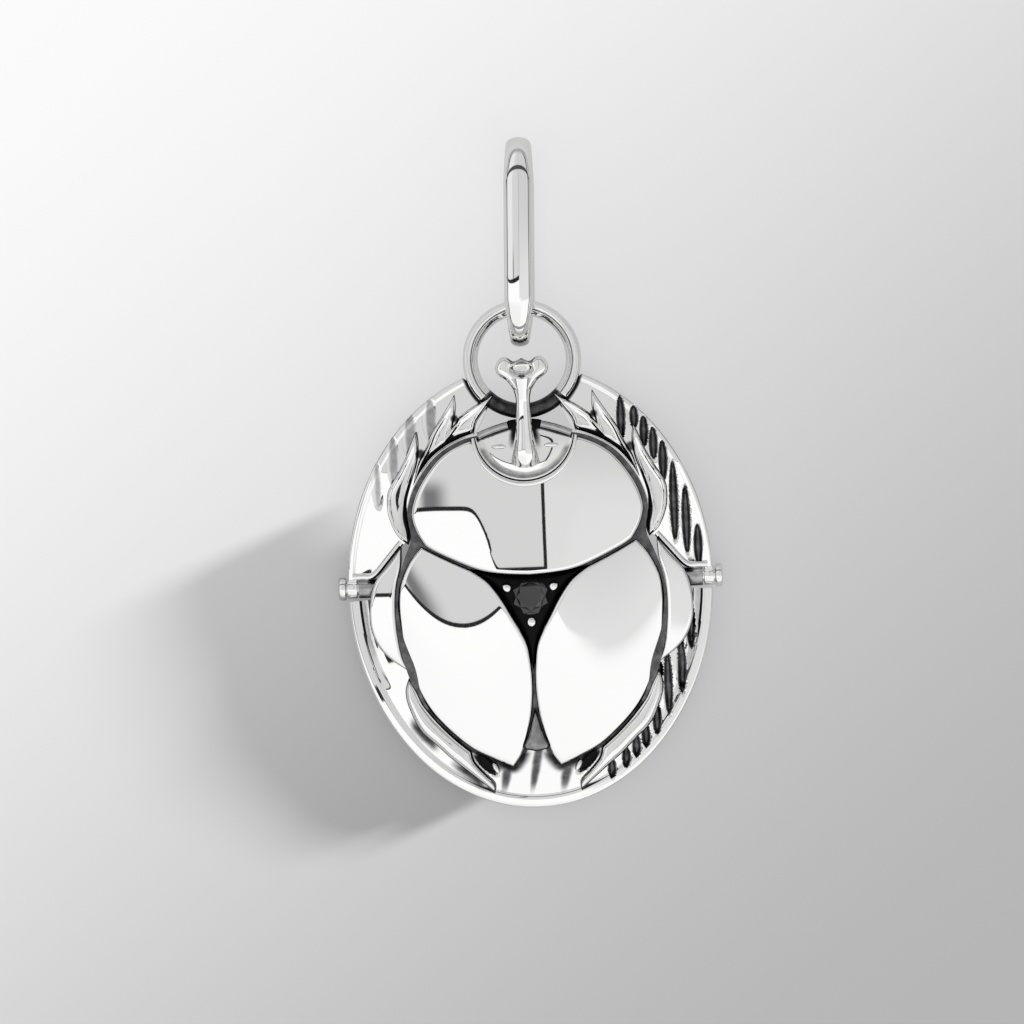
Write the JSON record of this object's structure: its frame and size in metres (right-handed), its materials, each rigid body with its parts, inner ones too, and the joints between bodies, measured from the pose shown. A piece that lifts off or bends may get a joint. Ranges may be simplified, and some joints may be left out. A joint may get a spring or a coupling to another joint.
{
  "type": "scarab amulet pendant",
  "caption": "Oval silver scarab amulet: a beetle with a forked horn and a dark stone swings on two pins in a ribbed yoke with a round eye and an oblong bail.",
  "frame": {"origin": "on the flat of the scarab's back face, which the amulet lies on, under the middle of the line through its two pins", "axes": "+Y from the beetle's tail to the bail, +X to the right seen from the front, +Z out of the front"},
  "size_m": [0.0366, 0.0639, 0.009],
  "materials": {
    "silver": "polished sterling silver with blackened recesses",
    "black_stone": "faceted and polished"
  },
  "bodies": {
    "yoke": {"yoke": "silver", "bail": "silver", "pin_left": "silver", "pin_right": "silver"},
    "scarab": {"scarab": "silver", "stone": "black_stone"}
  },
  "joints": [
    {"name": "scarab_swing", "type": "hinge", "parent": "yoke", "child": "scarab", "pos_m": [0, 0, 0.0016], "axis": [1, 0, 0], "range_deg": [0, 170]}
  ]
}
